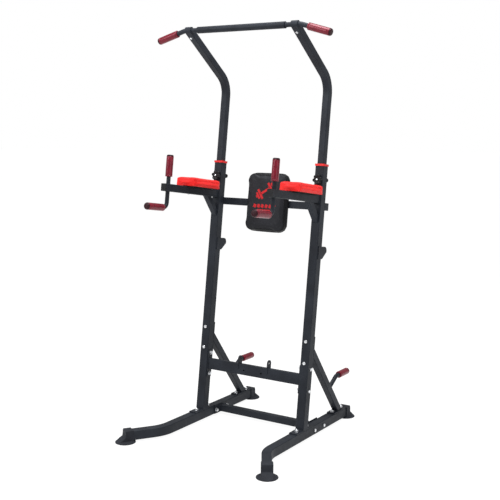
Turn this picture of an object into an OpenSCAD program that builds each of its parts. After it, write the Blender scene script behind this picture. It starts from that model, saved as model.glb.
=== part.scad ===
// Power tower: a free-standing pull-up, dip and push-up station of bolted square steel tube.
// The origin is on the floor in the middle of the footprint. +Z is up, the user stands on the -Y side.

/* [Overall] */
// Distance between the centre lines of the two uprights
upright_span = 650; // [600:10:700]
// Backward lean of the uprights from vertical, in degrees
lean = 7.25; // [6:0.25:8]
// Distance along an upright from the floor to its top end
upright_len = 1467; // [1440:1:1520]
// How far behind the centre of the footprint the upright centre line meets the floor
upright_y = 1.5; // [-20:0.5:20]

/* [Base] */
// Distance from front foot centre to rear foot centre, along Y
base_len = 1047; // [1020:1:1100]
// Side of the square main tube
main_tube = 50; // [50:1:50]
// Distance of the base rail bend from the middle of the footprint, along Y
flare_y = 347.5; // [320:0.5:370]
// Outward angle of the front end of a base rail
flare = 33; // [20:1:40]
// Height of the underside of the base rails
rail_z = 12; // [12:1:14]
// Diameter of a rubber foot
foot_d = 110; // [100:1:120]

/* [Upper frame] */
// Side of the square upper tube
upper_tube = 38; // [38:1:38]
// Distance along the lean from the floor to the corner of the upper tube
corner_s = 1918; // [1900:1:1960]
// Angle between the lean and the sloping top arm
corner_angle = 61; // [55:1:65]
// Distance from that corner to the pull-up bar, along the top arm
bar_t = 443; // [420:1:460]
// How far the upper frame can be lowered from its highest setting
travel = 300; // [240:60:300]
// Distance between two height settings
hole_pitch = 60; // [50:5:60]

/* [Pull-up bar] */
// Diameter of the bar
bar_d = 25; // [24:0.5:26]
// Distance from the middle of the bar to its bend
bar_bend_x = 355; // [350:1:380]
// Downward angle of the outer ends of the bar
bar_drop = 16; // [10:1:25]
// Length of the outer end of the bar, from its bend
bar_end = 180; // [170:1:200]

/* [Arms and pads] */
// Distance along the lean from the floor to the middle of a dip arm
arm_s = 1290; // [1285:1:1292]
// Distance from the upright centre plane to the front end of a dip arm
arm_reach = 505; // [495:1:520]
// Distance from the upright centre plane to the dip handle
handle_o = 470; // [455:1:475]
// Length of an arm pad
arm_pad_len = 249; // [220:1:260]
// Width of an arm pad
arm_pad_w = 122; // [100:1:130]
// Width of the backrest pad
back_w = 260; // [240:1:280]
// Height of the backrest pad
back_h = 325; // [300:1:340]

/* [Grips] */
// Outer diameter of the moulded grips
grip_d = 38; // [34:1:40]

/* [Hidden] */

LEFT = -1;
RIGHT = 1;
SIDES = [LEFT, RIGHT];
BIG = 3000;                          // size of the blocks that trim tube ends
ROUND = 48;                          // facets on round parts, which stay true circles

// Colours
CHARCOAL = [0.20, 0.21, 0.23];
BLACK = [0.07, 0.07, 0.08];
RED = [0.90, 0.15, 0.13];
WINE = [0.35, 0.03, 0.09];
ZINC = [0.80, 0.81, 0.83];
PLY = [0.62, 0.47, 0.30];

// Tubes and plates
wall = 2;                            // wall of every tube
edge = 3.5;                          // outside corner radius of the square tubes
bend_gap = 0.02;                     // between the straights and the bends of a tube
plate = 5;                           // thickness of the welded flanges
upright_x = upright_span / 2;
half_main = main_tube / 2;
half_upper = upper_tube / 2;
rail_mid = rail_z + half_main;
rail_top = rail_z + main_tube;
flange_top = rail_top + plate;

// Base rails and feet
rail_bend_r = 180;
rail_tangent = rail_bend_r * tan(flare / 2);
foot_y = base_len / 2;
flare_len = (foot_y - flare_y) / cos(flare);
foot_x = upright_x + flare_len * sin(flare);
foot_end = 5;                        // thickness of the end wall of a foot
foot_sleeve = 38;                    // length of tube that a foot covers
foot_skin = 5;                       // thickness of the sleeve of a foot

// Crossbars
lower_bar = 38;
lower_bar_y = 161.5;
lower_bar_z = 37;
lower_bolt_dy = 51.5;
lower_bolt_z = 36;
lower_plate_len = 136;
lower_plate_z = [14, rail_top + 4];
mid_bar_s = 327;
mid_bar_h = 60;
mid_bar_d = 30;
mid_plate_s = 329.5;                 // centre of the end plates of the middle crossbar
mid_plate_w = 40;
mid_plate_h = 150;
mid_bolt_ds = 58;
accessory_x = 56;                    // two holes in the front of the middle crossbar
accessory_s = 323;
accessory_r = 4.5;
lug_x = 94;
lug_s = 383;
lug_w = 36;
lug_t = 6;
lug_r = 7;

// Upright flange and braces
flange_len = 182;
flange_bolt_dy = 54.5;
flange_mid_y = upright_y + 8.5;
brace = 38;
brace_angle = 38.7;                  // from vertical
brace_foot_y = 418;                  // where the brace centre line meets its foot plate
brace_plate_y = [341.5, 480.5];
brace_plate_s = [395, 560];
brace_foot_bolts = [358.5, 466];
brace_top_bolts = [419, 534];

// Push-up handles
pushup_d = 24;
pushup_corner = [398.5, 266.5];      // y and z of the bend
pushup_rise = 31.8;
pushup_bend_r = 40;
pushup_grip = [428, 528];            // y of the ends of the grip

// Rear hooks
hook_t = 4;
hook_low = 975;
hook_top = 1042;
hook_back = 73;
hook_mouth = 1013;
hook_round = 22;
hook_front = 15;
hook_heel = 28;

// Dip arms, gussets, handles
arm_h = 40;
arm_w = 32;
arm_low = arm_s - arm_h / 2;
arm_high = arm_s + arm_h / 2;
gusset_w = 30;
gusset_d = 28;
gusset_reach = 128;                  // front end of the gusset, from the upright centre plane
gusset_foot_s = arm_low - 105;
handle_d = 22;
handle_low = 1184;
handle_bend_r = 28;
handle_front = 630;
upper_grip_s = [1348, 1454];
lower_grip_o = [500, 630];
cap_h = 9;                           // height of a grip end cap
cap_round = 6;

// Pads
arm_pad_o = 75;                      // rear end of an arm pad, from the upright centre plane
arm_pad_s = [arm_high + 2, arm_high + 48];
arm_pad_r = 8;
board_t = 10;
board_inset = 12;
back_s = 1258;
back_o = [-24, 20];
back_r = 48;
back_bar_s = 1254;
back_bar_h = 40;
back_bar_d = 38;
back_bar_y = half_main + back_bar_d / 2;
arm_screws = [115, 285];
back_screw_x = 65;
screw_r = 3;
screw_head_r = 6;
screw_head_h = 4.5;

// Telescoping joint
bush_top = 11;                       // thickness of the collar of a bushing
bush_w = 57;
bush_sleeve = 50;
slide_gap = 0.15;                    // clearance on each side of the sliding tube
tube_bottom = 1230;
plug_w = main_tube - 2 * wall - 0.6;
plug_head = 8;
knob_s = 1393;
knob_d = 58;
knob_t = 14;
lobes = 6;
stud_r = 4.95;                       // clamp screws and frame bolts, in 10 mm threads
thread_r = 5;
nut_h = 8;
tip_gap = 0.3;                       // between a screw or pin tip and the sliding tube
pin_s = 1397;
pin_r = 4;
pin_collar_r = 6;
pin_collar = [0.5, 3.3];             // from the floor of the barrel
barrel_r = 9;
barrel_end = 44;                     // from the upright centre plane
barrel_lip = 3;
pull_d = 24;
pull_end = 68;
index_r = 4.75;                      // height-setting holes

// Top arm and pull-up bar
top_bend_r = 120;
top_tangent = top_bend_r * tan(corner_angle / 2);
arm_end_t = bar_t - 18;
head_round = half_upper + 0.5;        // radius of the round end of an end fitting
spigot = 40;
head_bolt_t = bar_t - 35;
bar_fit = 0.1;
bar_bend_r = 60;
bar_tangent = bar_bend_r * tan(bar_drop / 2);
bar_y = upright_y + corner_s * sin(lean) - bar_t * sin(corner_angle - lean);
bar_z = corner_s * cos(lean) + bar_t * cos(corner_angle - lean);
bar_grip = [47, 171];                // from the bend of the bar
sleeve_half = 268;
sleeve_r = 17.5;

// Fasteners
bolt_hole = 5.25;
hex_r = 9.5;
hex_h = 6.5;
washer_t = 2;
bolt_tail = 5;                       // thread that shows past a nut
head_stud_r = 3.95;
head_hex_r = 7.5;
head_hex_h = 5.5;

// ---------- Frames of reference ----------

// Mirrors the right-hand version of a part to the left
module side(s) {
    mirror([s < 0 ? 1 : 0, 0, 0]) children();
}

// The frame of the uprights: +Z runs up along the lean, -Y faces the user squarely
module leaned(x = 0) {
    translate([x, upright_y, 0]) rotate([-lean, 0, 0]) children();
}

// The frame of the sloping top arm: +Z runs from the corner towards the pull-up bar
module top_arm() {
    leaned(upright_x) translate([0, 0, corner_s]) rotate([corner_angle, 0, 0]) children();
}

// The frame of the outer end of the bar: +Z runs outwards from the bend
module bar_tip() {
    translate([bar_bend_x, bar_y, bar_z]) rotate([0, 90 + bar_drop, 0]) children();
}

// The frame of the front end of the right base rail: -Y runs outwards along the rail
module flared() {
    translate([foot_x, -foot_y, 0]) rotate([0, 0, flare]) children();
}

// ---------- Shapes ----------

// Rectangle with true round corners
module rounded(w, h, r) {
    square([w - 2 * r, h], center = true);
    square([w, h - 2 * r], center = true);
    for (x = [-1, 1], y = [-1, 1])
        translate([x * (w / 2 - r), y * (h / 2 - r)]) circle(r, $fn = 32);
}

// Section of a rectangular tube
module box_section(w, h) {
    difference() {
        rounded(w, h, edge);
        rounded(w - 2 * wall, h - 2 * wall, edge - wall);
    }
}

// Extrudes an outline drawn in Y and Z from x0 to x1
module along_x(x0, x1) {
    translate([x0, 0, 0]) rotate([90, 0, 90]) linear_extrude(x1 - x0) children();
}

// Extrudes an outline drawn in X and Z from y0 to y1
module along_y(y0, y1) {
    translate([0, y1, 0]) rotate([90, 0, 0]) linear_extrude(y1 - y0) children();
}

// Runs a symmetric section up Z through straights and bends: path holds [length, radius, angle],
// and a positive angle bends towards +Y. A gap leaves every straight and every bend its own solid
module run(path, gap = 0, i = 0) {
    length = path[i][0];
    last = len(path) - 1;
    from = i == 0 ? 0 : gap;
    to = i == last ? length : length - gap;
    translate([0, 0, from]) linear_extrude(to - from) children();
    if (i < last) {
        radius = path[i][1];
        angle = path[i][2];
        centre = angle > 0 ? radius : -radius;
        translate([0, 0, length]) {
            rotate([0, 0, angle > 0 ? 0 : 180]) translate([0, radius, 0]) rotate([90, 0, -90])
                rotate_extrude(angle = abs(angle), $fn = 96) translate([radius, 0]) children();
            translate([0, centre, 0]) rotate([-angle, 0, 0]) translate([0, -centre, 0])
                run(path, gap, i + 1) children();
        }
    }
}

// The same path with both ends drawn out
function stretched(path, extra) = [for (i = [0:len(path) - 1])
    [path[i][0] + (i == 0 ? extra : 0) + (i == len(path) - 1 ? extra : 0), path[i][1], path[i][2]]];

// Bent round tube along a path
module round_pipe(path, d) {
    difference() {
        run(path) circle(d = d, $fn = ROUND);
        translate([0, 0, -1]) run(stretched(path, 1)) circle(d = d - 2 * wall, $fn = ROUND);
    }
}

// Section of a round tube
module ring_section(d) {
    difference() {
        circle(d = d, $fn = ROUND);
        circle(d = d - 2 * wall, $fn = ROUND);
    }
}

// Round hole or rod along X, from x0 to x1
module rod_x(r, x0, x1) {
    translate([x0, 0, 0]) rotate([0, 90, 0]) cylinder(r = r, h = x1 - x0, $fn = ROUND);
}

// Round hole or rod along Y, from y0 to y1
module rod_y(r, y0, y1) {
    translate([0, y1, 0]) rotate([90, 0, 0]) cylinder(r = r, h = y1 - y0, $fn = ROUND);
}

// Bolt through a stack of the given thickness: the head is below z = 0, the washer and nut above
module bolt(stack, r = stud_r, hex = hex_r, head = hex_h, nut = nut_h) {
    translate([0, 0, -head]) cylinder(r = hex, h = head, $fn = 6);
    translate([0, 0, -head / 2])
        cylinder(r = r, h = stack + washer_t + nut + bolt_tail + head / 2, $fn = ROUND);
    translate([0, 0, stack]) ring(r + 0.3, hex + 1, washer_t);
    translate([0, 0, stack + washer_t + 0.05]) difference() {
        cylinder(r = hex, h = nut, $fn = 6);
        translate([0, 0, -1]) cylinder(r = r + 0.05, h = nut + 2, $fn = ROUND);
    }
}

// Flat ring
module ring(inner, outer, h) {
    difference() {
        cylinder(r = outer, h = h, $fn = ROUND);
        translate([0, 0, -1]) cylinder(r = inner, h = h + 2, $fn = ROUND);
    }
}

// Countersunk-style pan screw along +Z, with its head below z = 0
module screw(length) {
    translate([0, 0, -screw_head_h])
        cylinder(r1 = screw_head_r - 1, r2 = screw_head_r, h = screw_head_h, $fn = ROUND);
    translate([0, 0, -screw_head_h / 2]) cylinder(r = screw_r, h = length + screw_head_h / 2, $fn = ROUND);
}

// Moulded grip of the given length on a tube, with rounded rims
module grip(length, tube_d) {
    rim = 3;
    rotate_extrude($fn = ROUND) difference() {
        union() {
            translate([0, rim]) square([grip_d / 2, length - 2 * rim]);
            square([grip_d / 2 - rim, length]);
            for (z = [rim, length - rim]) translate([grip_d / 2 - rim, z]) circle(rim, $fn = 32);
        }
        translate([-1, -1]) square([tube_d / 2 + 1, length + 2]);
    }
}

// Domed end cap with a plug that sits inside a tube
module end_cap(tube_d) {
    outer = grip_d / 2 - 0.5;
    rotate_extrude($fn = ROUND) {
        square([outer, cap_h - cap_round]);
        square([outer - cap_round, cap_h]);
        translate([outer - cap_round, cap_h - cap_round]) intersection() {
            circle(cap_round, $fn = 32);
            square(cap_round);
        }
    }
    translate([0, 0, -15]) cylinder(d = tube_d - 2 * wall - 0.4, h = 16, $fn = ROUND);
}

// ---------- Base ----------

module base_rail(s) {
    color(CHARCOAL) side(s) difference() {
        translate([upright_x, foot_y - foot_end, rail_mid]) rotate([90, 0, 0]) rotate([0, 0, -90])
            run([[foot_y - foot_end + flare_y - rail_tangent, rail_bend_r, flare],
                 [flare_len - rail_tangent - foot_end]], bend_gap)
                box_section(main_tube, main_tube);
        for (y = [flange_mid_y - flange_bolt_dy, flange_mid_y + flange_bolt_dy, each brace_foot_bolts])
            translate([upright_x, y, 0]) cylinder(r = bolt_hole, h = rail_top + 1, $fn = ROUND);
        for (y = [-lower_bolt_dy, lower_bolt_dy])
            translate([upright_x, lower_bar_y + y, lower_bolt_z]) rod_x(bolt_hole, -main_tube, main_tube);
    }
}

// Rubber foot on the end of a rail that points along -Y
module foot() {
    w = main_tube + 2 * foot_skin;
    top = rail_top + foot_skin;
    toe = [[foot_sleeve, rail_z - 5], [foot_sleeve, top], [-3, top], [-6, top - 3],
        [-9, 30], [-24, 21], [-44, 5], [-44, 1], [foot_sleeve - 8, 1]];
    difference() {
        union() {
            cylinder(d = foot_d, h = 4, $fn = 96);
            translate([0, 0, 4]) cylinder(d1 = foot_d, d2 = foot_d - 28, h = 5, $fn = 96);
            along_x(-w / 2, w / 2) polygon(toe);
        }
        translate([0, foot_end, rail_mid]) along_y(0, BIG)
            rounded(main_tube + 0.1, main_tube + 0.1, edge);
    }
}

module foot_front(s) {
    color(BLACK) side(s) flared() foot();
}

module foot_rear(s) {
    color(BLACK) side(s) translate([upright_x, foot_y, 0]) rotate([0, 0, 180]) foot();
}

module lower_crossbar() {
    inner = upright_x - half_main;
    color(CHARCOAL) difference() {
        union() {
            translate([0, lower_bar_y, lower_bar_z]) along_x(plate - inner, inner - plate)
                box_section(lower_bar, lower_bar);
            for (s = SIDES) side(s)
                translate([inner - plate, lower_bar_y - lower_plate_len / 2, lower_plate_z[0]])
                    cube([plate, lower_plate_len, lower_plate_z[1] - lower_plate_z[0]]);
        }
        for (y = [-lower_bolt_dy, lower_bolt_dy], s = SIDES)
            side(s) translate([inner, lower_bar_y + y, lower_bolt_z]) rod_x(bolt_hole, -20, 20);
    }
}

// ---------- Uprights, braces and crossbars ----------

module upright(s) {
    color(CHARCOAL) side(s) difference() {
        union() {
            difference() {
                leaned(upright_x) linear_extrude(upright_len) box_section(main_tube, main_tube);
                translate([0, -BIG / 2, -BIG]) cube([BIG, BIG, BIG + flange_top - 1]);
            }
            translate([upright_x - half_main, flange_mid_y - flange_len / 2, rail_top])
                cube([main_tube, flange_len, plate]);
            leaned(upright_x) {
                translate([0, -half_main + 0.5, knob_s]) rotate([90, 0, 0])
                    cylinder(r = hex_r, h = 6.5, $fn = 6);
                translate([0, 0, pin_s]) rod_y(barrel_r, half_main - 0.5, barrel_end);
            }
        }
        for (y = [-flange_bolt_dy, flange_bolt_dy])
            translate([upright_x, flange_mid_y + y, rail_top - 1])
                cylinder(r = bolt_hole, h = plate + 2, $fn = ROUND);
        leaned(upright_x) {
            translate([0, 0, knob_s]) rod_y(thread_r, -half_main - 10, -half_main + wall + 1);
            translate([0, 0, pin_s]) {
                rod_y(pin_r + 0.05, half_main - wall - 1, barrel_end + 1);
                rod_y(pin_collar_r + 0.5, half_main + wall, barrel_end - barrel_lip);
            }
            for (z = [-mid_bolt_ds, mid_bolt_ds])
                translate([0, 0, mid_plate_s + z]) rod_x(bolt_hole, -main_tube, main_tube);
            for (z = brace_top_bolts) translate([0, 0, z]) rod_y(bolt_hole, -main_tube, main_tube);
        }
    }
}

module brace(s) {
    reach = (brace_foot_y - upright_y) / sin(brace_angle);
    color(CHARCOAL) side(s) difference() {
        union() {
            difference() {
                translate([upright_x, brace_foot_y, flange_top]) rotate([brace_angle, 0, 0])
                    translate([0, 0, -brace]) linear_extrude(reach + 2 * brace) box_section(brace, brace);
                translate([0, -BIG / 2, -BIG]) cube([BIG, BIG, BIG + flange_top - 1]);
                leaned() translate([0, -BIG, 0]) cube([BIG, BIG + half_main + plate - 1, BIG]);
            }
            translate([upright_x - half_main, brace_plate_y[0], rail_top])
                cube([main_tube, brace_plate_y[1] - brace_plate_y[0], plate]);
            leaned(upright_x) translate([-half_main, half_main, brace_plate_s[0]])
                cube([main_tube, plate, brace_plate_s[1] - brace_plate_s[0]]);
        }
        for (y = brace_foot_bolts)
            translate([upright_x, y, rail_top - 1]) cylinder(r = bolt_hole, h = plate + 2, $fn = ROUND);
        for (z = brace_top_bolts) leaned(upright_x) translate([0, 0, z])
            rod_y(bolt_hole, half_main - 1, half_main + plate + 1);
    }
}

module mid_crossbar() {
    inner = upright_x - half_main;
    color(CHARCOAL) leaned() difference() {
        union() {
            translate([0, 0, mid_bar_s]) along_x(plate - inner, inner - plate)
                box_section(mid_bar_d, mid_bar_h);
            for (s = SIDES) side(s)
                translate([inner - plate, -mid_plate_w / 2, mid_plate_s - mid_plate_h / 2])
                    cube([plate, mid_plate_w, mid_plate_h]);
            for (s = SIDES) side(s) along_x(lug_x - lug_t / 2, lug_x + lug_t / 2) {
                translate([0, lug_s]) circle(d = lug_w, $fn = ROUND);
                translate([-lug_w / 2, mid_bar_s]) square([lug_w, lug_s - mid_bar_s]);
            }
        }
        for (s = SIDES) side(s) {
            translate([0, 0, lug_s]) rod_x(lug_r, lug_x - lug_t, lug_x + lug_t);
            translate([accessory_x, 0, accessory_s]) rod_y(accessory_r, -mid_bar_d, mid_bar_d);
            for (z = [-mid_bolt_ds, mid_bolt_ds])
                translate([inner, 0, mid_plate_s + z]) rod_x(bolt_hole, -20, 20);
            // the lug plates end at the outside of the bar
            translate([lug_x - lug_t, -mid_bar_d / 2 + wall, mid_bar_s - mid_bar_h / 2 + wall])
                cube([2 * lug_t, mid_bar_d - 2 * wall, mid_bar_h - 2 * wall]);
        }
    }
}

// Bracket that wraps the sides of an upright and makes a pocket behind it
module rear_hook(s) {
    steps = 8;
    corner = [for (i = [0:steps]) [hook_back - hook_round * (1 - cos(90 * i / steps)),
        hook_top - hook_round * (1 - sin(90 * i / steps))]];
    slope = (hook_mouth - hook_low) / (hook_back - hook_heel);
    floor_low = hook_low + hook_t;
    color(CHARCOAL) side(s) leaned(upright_x) difference() {
        along_x(-half_main - hook_t, half_main + hook_t)
            polygon([[-hook_front, hook_low], [hook_heel, hook_low], [hook_back, hook_mouth],
                each corner, [-hook_front, hook_top]]);
        along_x(-half_main, half_main)
            polygon([[-main_tube, hook_low - 1], [half_main, hook_low - 1], [half_main, floor_low],
                [hook_back - hook_t, floor_low + slope * (hook_back - hook_t - half_main)],
                [hook_back - hook_t, hook_top + 1], [-main_tube, hook_top + 1]]);
    }
}

module pushup_handle(s) {
    tangent = pushup_bend_r * tan(pushup_rise / 2);
    color(CHARCOAL) side(s) difference() {
        translate([upright_x, pushup_grip[1], pushup_corner[1]]) rotate([90, 0, 0])
            round_pipe([[pushup_grip[1] - pushup_corner[0] - tangent, pushup_bend_r, -pushup_rise],
                        [120]], pushup_d);
        translate([upright_x, brace_foot_y, flange_top]) rotate([brace_angle, 0, 0])
            translate([-main_tube, -BIG, -main_tube]) cube([2 * main_tube, BIG + brace / 2, BIG]);
    }
}

module pushup_grip(s) {
    color(WINE) side(s) translate([upright_x, pushup_grip[0], pushup_corner[1]]) rotate([-90, 0, 0])
        grip(pushup_grip[1] - pushup_grip[0], pushup_d);
}

// ---------- Dip arms ----------

module dip_arm(s) {
    color(CHARCOAL) side(s) leaned(upright_x) difference() {
        translate([0, 0, arm_s]) along_y(-arm_reach, -half_main) box_section(arm_w, arm_h);
        translate([0, -handle_o, arm_low - 1]) cylinder(d = handle_d + 0.1, h = arm_h + 2, $fn = ROUND);
        for (o = arm_screws) translate([0, -o, arm_low - 1])
            cylinder(r = screw_r + 0.25, h = arm_h + 2, $fn = ROUND);
    }
}

// Sloping strut of rectangular tube under a dip arm
module arm_gusset(s) {
    run_o = gusset_reach - half_main;
    rise = arm_low - gusset_foot_s;
    length = norm([run_o, rise]);
    // how far the tube's inner and outer faces are apart, measured along the arm and the upright
    function flat_o(d) = d * length / rise;
    function flat_s(d) = d * length / run_o;
    module strip(near, far) {
        polygon([[-gusset_reach + flat_o(near), arm_low], [-half_main, gusset_foot_s + flat_s(near)],
            [-half_main, gusset_foot_s + flat_s(far)], [-gusset_reach + flat_o(far), arm_low]]);
    }
    color(CHARCOAL) side(s) leaned(upright_x) difference() {
        along_x(-gusset_w / 2, gusset_w / 2) strip(0, gusset_d);
        along_x(wall - gusset_w / 2, gusset_w / 2 - wall) strip(wall, gusset_d - wall);
    }
}

module arm_end_caps() {
    for (s = SIDES) color(BLACK) side(s) leaned(upright_x) translate([0, 0, arm_s]) {
        along_y(-arm_reach - 3, -arm_reach) rounded(arm_w, arm_h, edge);
        along_y(-arm_reach - 1, -arm_reach + 12)
            rounded(arm_w - 2 * wall - 0.4, arm_h - 2 * wall - 0.4, 1);
    }
}

module dip_handle(s) {
    top = upper_grip_s[1];
    color(CHARCOAL) side(s) leaned(upright_x) translate([0, -handle_o, top]) rotate([180, 0, 0])
        round_pipe([[top - handle_low - handle_bend_r, handle_bend_r, 90],
                    [handle_front - handle_o - handle_bend_r]], handle_d);
}

module upper_grip(s) {
    color(WINE) side(s) leaned(upright_x) translate([0, -handle_o, upper_grip_s[0]])
        grip(upper_grip_s[1] - upper_grip_s[0], handle_d);
}

module lower_grip(s) {
    color(WINE) side(s) leaned(upright_x) translate([0, -lower_grip_o[0], handle_low])
        rotate([90, 0, 0]) grip(lower_grip_o[1] - lower_grip_o[0] - bar_fit, handle_d);
}

module grip_end_caps() {
    for (s = SIDES) color(BLACK) side(s) {
        leaned(upright_x) translate([0, -handle_o, upper_grip_s[1]]) end_cap(handle_d);
        leaned(upright_x) translate([0, -lower_grip_o[1], handle_low]) rotate([90, 0, 0])
            end_cap(handle_d);
        translate([upright_x, pushup_grip[1], pushup_corner[1]]) rotate([-90, 0, 0])
            end_cap(pushup_d);
    }
}

// ---------- Pads ----------

// Centre of an arm pad, with Z up through the pad from its underside
module on_arm() {
    leaned(upright_x) translate([0, -arm_pad_o - arm_pad_len / 2, arm_high]) children();
}

module arm_board() {
    linear_extrude(board_t) rounded(arm_pad_w - 2 * board_inset, arm_pad_len - 2 * board_inset, 10);
}

module arm_pad(s) {
    color(RED) side(s) on_arm() difference() {
        translate([0, 0, arm_pad_s[0] - arm_high]) linear_extrude(arm_pad_s[1] - arm_pad_s[0])
            rounded(arm_pad_w, arm_pad_len, arm_pad_r);
        linear_extrude(board_t + 0.2)
            rounded(arm_pad_w - 2 * board_inset + 0.4, arm_pad_len - 2 * board_inset + 0.4, 10);
    }
}

module arm_pad_boards() {
    for (s = SIDES) color(PLY) side(s) difference() {
        on_arm() arm_board();
        leaned(upright_x) for (o = arm_screws) translate([0, -o, arm_high - 1])
            cylinder(r = screw_r + 0.1, h = board_t, $fn = ROUND);
    }
}

module backrest_crossbar() {
    color(CHARCOAL) leaned() difference() {
        translate([0, back_bar_y, back_bar_s]) difference() {
            along_x(-upright_x - half_main, upright_x + half_main)
                rounded(back_bar_d, back_bar_h, edge);
            along_x(4 - upright_x - half_main, upright_x + half_main - 4)
                rounded(back_bar_d - 2 * wall, back_bar_h - 2 * wall, edge - wall);
        }
        for (s = SIDES) translate([s * back_screw_x, 0, back_bar_s])
            rod_y(screw_r + 0.25, 0, half_main + back_bar_d + 1);
    }
}

module backrest_pad() {
    color(BLACK) leaned() difference() {
        translate([0, 0, back_s]) along_y(-back_o[1], -back_o[0]) rounded(back_w, back_h, back_r);
        translate([0, 0, back_s]) along_y(half_main - board_t - 0.2, half_main)
            rounded(back_w - 2 * board_inset + 0.4, back_h - 2 * board_inset + 0.4, back_r - board_inset);
    }
}

module backrest_board() {
    color(PLY) leaned() difference() {
        translate([0, 0, back_s]) along_y(half_main - board_t, half_main)
            rounded(back_w - 2 * board_inset, back_h - 2 * board_inset, back_r - board_inset);
        for (s = SIDES) translate([s * back_screw_x, 0, back_bar_s])
            rod_y(screw_r + 0.1, half_main - board_t + 1, half_main + 1);
    }
}

// ---------- Telescoping joint ----------

module bushing(s) {
    hole = upper_tube + 2 * slide_gap;
    color(RED) side(s) leaned(upright_x) difference() {
        union() {
            translate([0, 0, upright_len]) linear_extrude(bush_top) rounded(bush_w, bush_w, 6);
            translate([0, 0, upright_len - bush_sleeve]) linear_extrude(bush_sleeve + 1)
                rounded(main_tube - 2 * wall - 0.1, main_tube - 2 * wall - 0.1, 1.5);
        }
        translate([0, 0, upright_len - bush_sleeve - 1]) linear_extrude(bush_sleeve + bush_top + 2)
            rounded(hole, hole, edge);
    }
}

// Lobed hand knob that tightens against the sliding tube
module star_knob(s) {
    color(BLACK) side(s) leaned(upright_x) translate([0, -half_main - 6.2, knob_s]) rotate([90, 0, 0])
        difference() {
            linear_extrude(knob_t) {
                circle(r = knob_d / 2 - 7, $fn = ROUND);
                for (i = [0:lobes - 1]) rotate(i * 360 / lobes)
                    translate([knob_d / 2 - 8, 0]) circle(8, $fn = 32);
            }
            translate([0, 0, -1]) cylinder(r = thread_r, h = knob_t + 2, $fn = ROUND);
        }
}

module clamp_screw(s) {
    color(ZINC) side(s) leaned(upright_x) translate([0, 0, knob_s])
        rod_y(stud_r, -half_main - 6.2 - knob_t - 2, -half_upper - tip_gap);
}

// Plunger that drops into a height-setting hole, drawn clear of the sliding tube
module index_pin(s) {
    color(ZINC) side(s) leaned(upright_x) translate([0, 0, pin_s]) {
        rod_y(pin_r, half_upper + tip_gap, barrel_end + 12);
        rod_y(pin_collar_r, half_main + wall + pin_collar[0], half_main + wall + pin_collar[1]);
    }
}

module pull_knob(s) {
    length = pull_end - barrel_end - 2;
    color(BLACK) side(s) leaned(upright_x) translate([0, barrel_end + 2, pin_s]) rotate([-90, 0, 0])
        difference() {
            rotate_extrude($fn = ROUND) {
                square([7, length - 2]);
                translate([0, 7]) square([pull_d / 2, length - 12]);
                translate([0, length - 6]) square([pull_d / 2 - 6, 6]);
                translate([pull_d / 2 - 6, length - 6]) intersection() {
                    circle(6, $fn = 32);
                    square(6);
                }
                translate([0, length - 7]) square([pull_d / 2, 1]);
            }
            translate([0, 0, -1]) cylinder(r = pin_r + 0.02, h = 11.1, $fn = ROUND);
        }
}

// ---------- Upper frame ----------

module upper_tube(s) {
    color(CHARCOAL) side(s) difference() {
        leaned(upright_x) translate([0, 0, tube_bottom])
            run([[corner_s - top_tangent - tube_bottom, top_bend_r, -corner_angle],
                 [arm_end_t - top_tangent]], bend_gap)
                box_section(upper_tube, upper_tube);
        for (drop = [0:hole_pitch:travel]) leaned(upright_x) translate([0, 0, pin_s + drop])
            rod_y(index_r, half_upper - wall - 1, half_upper + 1);
        top_arm() translate([0, 0, head_bolt_t]) rod_y(head_stud_r + 0.3, -upper_tube, upper_tube);
    }
}

// End fitting that plugs into each top arm and carries the bar
module bar_heads() {
    inner = upper_tube - 2 * wall;
    for (s = SIDES) color(CHARCOAL) side(s) difference() {
        top_arm() difference() {
            union() {
                intersection() {
                    translate([0, 0, arm_end_t]) linear_extrude(bar_t + upper_tube - arm_end_t)
                        rounded(upper_tube, upper_tube, edge);
                    union() {
                        translate([0, 0, bar_t]) rod_x(head_round, -upper_tube, upper_tube);
                        translate([-upper_tube, -upper_tube, 0])
                            cube([2 * upper_tube, 2 * upper_tube, bar_t]);
                    }
                }
                translate([0, 0, arm_end_t - spigot]) linear_extrude(spigot + 1)
                    rounded(inner - 0.2, inner - 0.2, 1.5);
            }
            translate([0, 0, arm_end_t - spigot - 1]) linear_extrude(bar_t - arm_end_t + spigot + 1)
                rounded(inner - 6, inner - 6, 1);
            translate([0, 0, head_bolt_t]) rod_y(head_stud_r + 0.3, -upper_tube, upper_tube);
        }
        translate([0, bar_y, bar_z]) rod_x(bar_d / 2 + 0.05, 0, BIG);
    }
}

// Round tube with a bend near each end
module pullup_bar() {
    tip = bar_end - cap_h;
    end = tip - bar_tangent;
    color(CHARCOAL)
        translate([-bar_bend_x - tip * cos(bar_drop), bar_y, bar_z - tip * sin(bar_drop)])
            rotate([0, 90 - bar_drop, 0]) rotate([0, 0, -90])
                run([[end, bar_bend_r, bar_drop],
                     [2 * (bar_bend_x - bar_tangent), bar_bend_r, bar_drop], [end]], bend_gap)
                    ring_section(bar_d);
}

module bar_sleeve() {
    color(CHARCOAL) translate([0, bar_y, bar_z]) difference() {
        rod_x(sleeve_r, -sleeve_half, sleeve_half);
        rod_x(bar_d / 2 + 0.05, -sleeve_half - 1, sleeve_half + 1);
    }
}

module bar_grip(s) {
    color(WINE) side(s) bar_tip() translate([0, 0, bar_grip[0]])
        grip(bar_grip[1] - bar_grip[0], bar_d + bar_fit);
}

module bar_end_caps() {
    for (s = SIDES) color(BLACK) side(s) bar_tip() translate([0, 0, bar_grip[1]]) end_cap(bar_d);
}

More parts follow.
